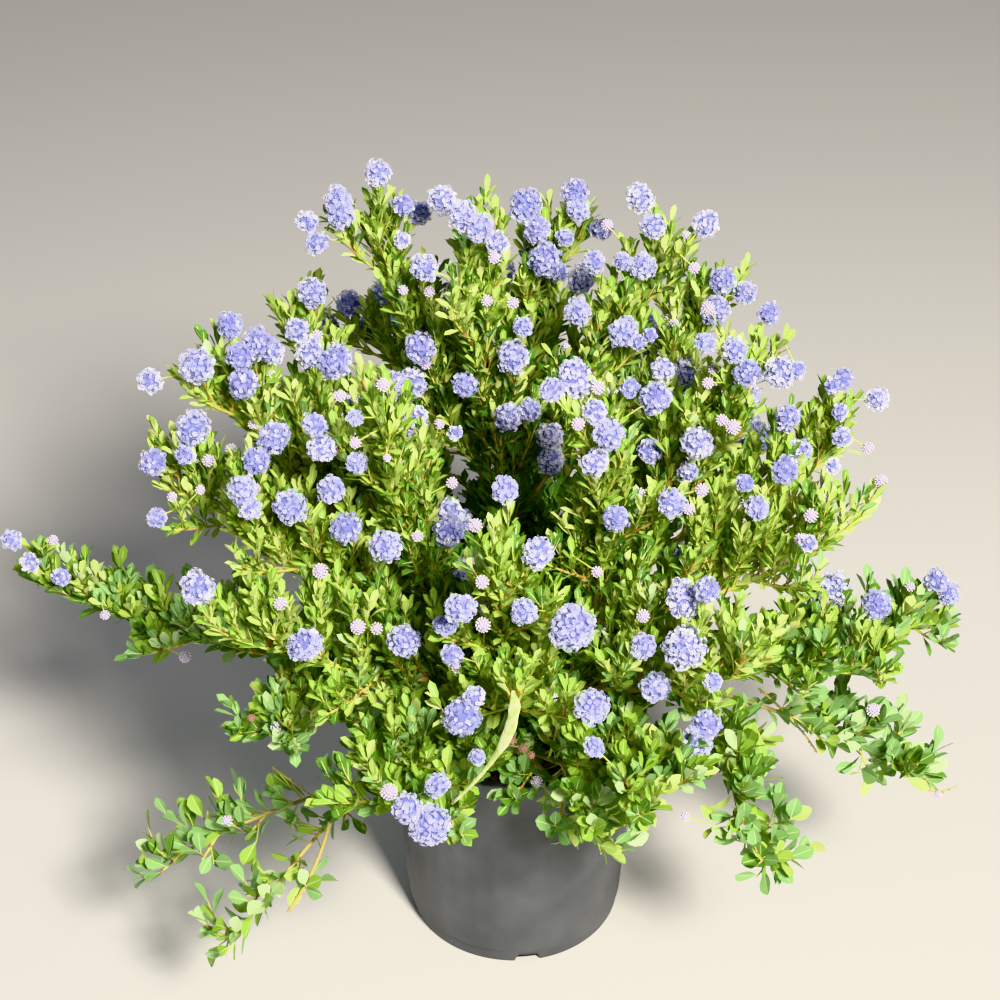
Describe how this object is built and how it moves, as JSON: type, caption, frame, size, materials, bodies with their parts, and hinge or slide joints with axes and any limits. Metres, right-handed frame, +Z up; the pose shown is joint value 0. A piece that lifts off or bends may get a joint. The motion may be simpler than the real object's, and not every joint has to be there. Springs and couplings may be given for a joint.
{
  "type": "potted california lilac",
  "caption": "Spreading evergreen shrub with small glossy leaves and round powder-blue flower heads, in a round black nursery pot.",
  "frame": {"origin": "centre of the flat underside of the pot", "axes": "+Z up along the pot's axis, +X to the right and -Y towards the viewer of the plant's widest side"},
  "size_m": [1.0155, 0.7396, 0.8628],
  "materials": {
    "pot": "black moulded plastic with a fine grain and dusty scuffs",
    "soil": "damp dark-brown potting mix of bark and peat",
    "bark": "grey-brown bark with fine lengthways cracks",
    "foliage": "glossy bright-green leaves, paler beneath, with powder-blue flower heads on yellow-green shoots"
  },
  "bodies": {
    "root": {"pot": "pot", "soil": "soil", "trunk": "bark", "bough_leader": "bark", "bough_left": "bark", "bough_right": "bark", "bough_front_left": "bark", "bough_front_right": "bark", "bough_front": "bark", "bough_back": "bark", "bough_low_front": "bark", "bough_low_left": "bark", "bough_trailing": "bark", "bough_low_right": "bark", "bough_low_back": "bark", "foliage_top_left": "foliage", "foliage_top_middle": "foliage", "foliage_top_right": "foliage", "foliage_upper_left": "foliage", "foliage_left": "foliage", "foliage_rear_left": "foliage", "foliage_upper_right": "foliage", "foliage_right": "foliage", "foliage_rear_right": "foliage", "foliage_brow_left": "foliage", "foliage_shoulder_left": "foliage", "foliage_brow_right": "foliage", "foliage_shoulder_right": "foliage", "foliage_brow": "foliage", "foliage_cheek_left": "foliage", "foliage_cheek_right": "foliage", "foliage_face": "foliage", "foliage_back_high": "foliage", "foliage_back_left": "foliage", "foliage_back_right": "foliage", "foliage_chin": "foliage", "foliage_chin_right": "foliage", "foliage_over_pot": "foliage", "foliage_arm_left": "foliage", "foliage_skirt_left": "foliage", "foliage_trail_left": "foliage", "foliage_trail_low": "foliage", "foliage_arm_right": "foliage", "foliage_spray_right": "foliage", "foliage_trail_right": "foliage", "foliage_droop_right": "foliage", "foliage_skirt_back_left": "foliage", "foliage_skirt_back_right": "foliage"}
  },
  "joints": []
}
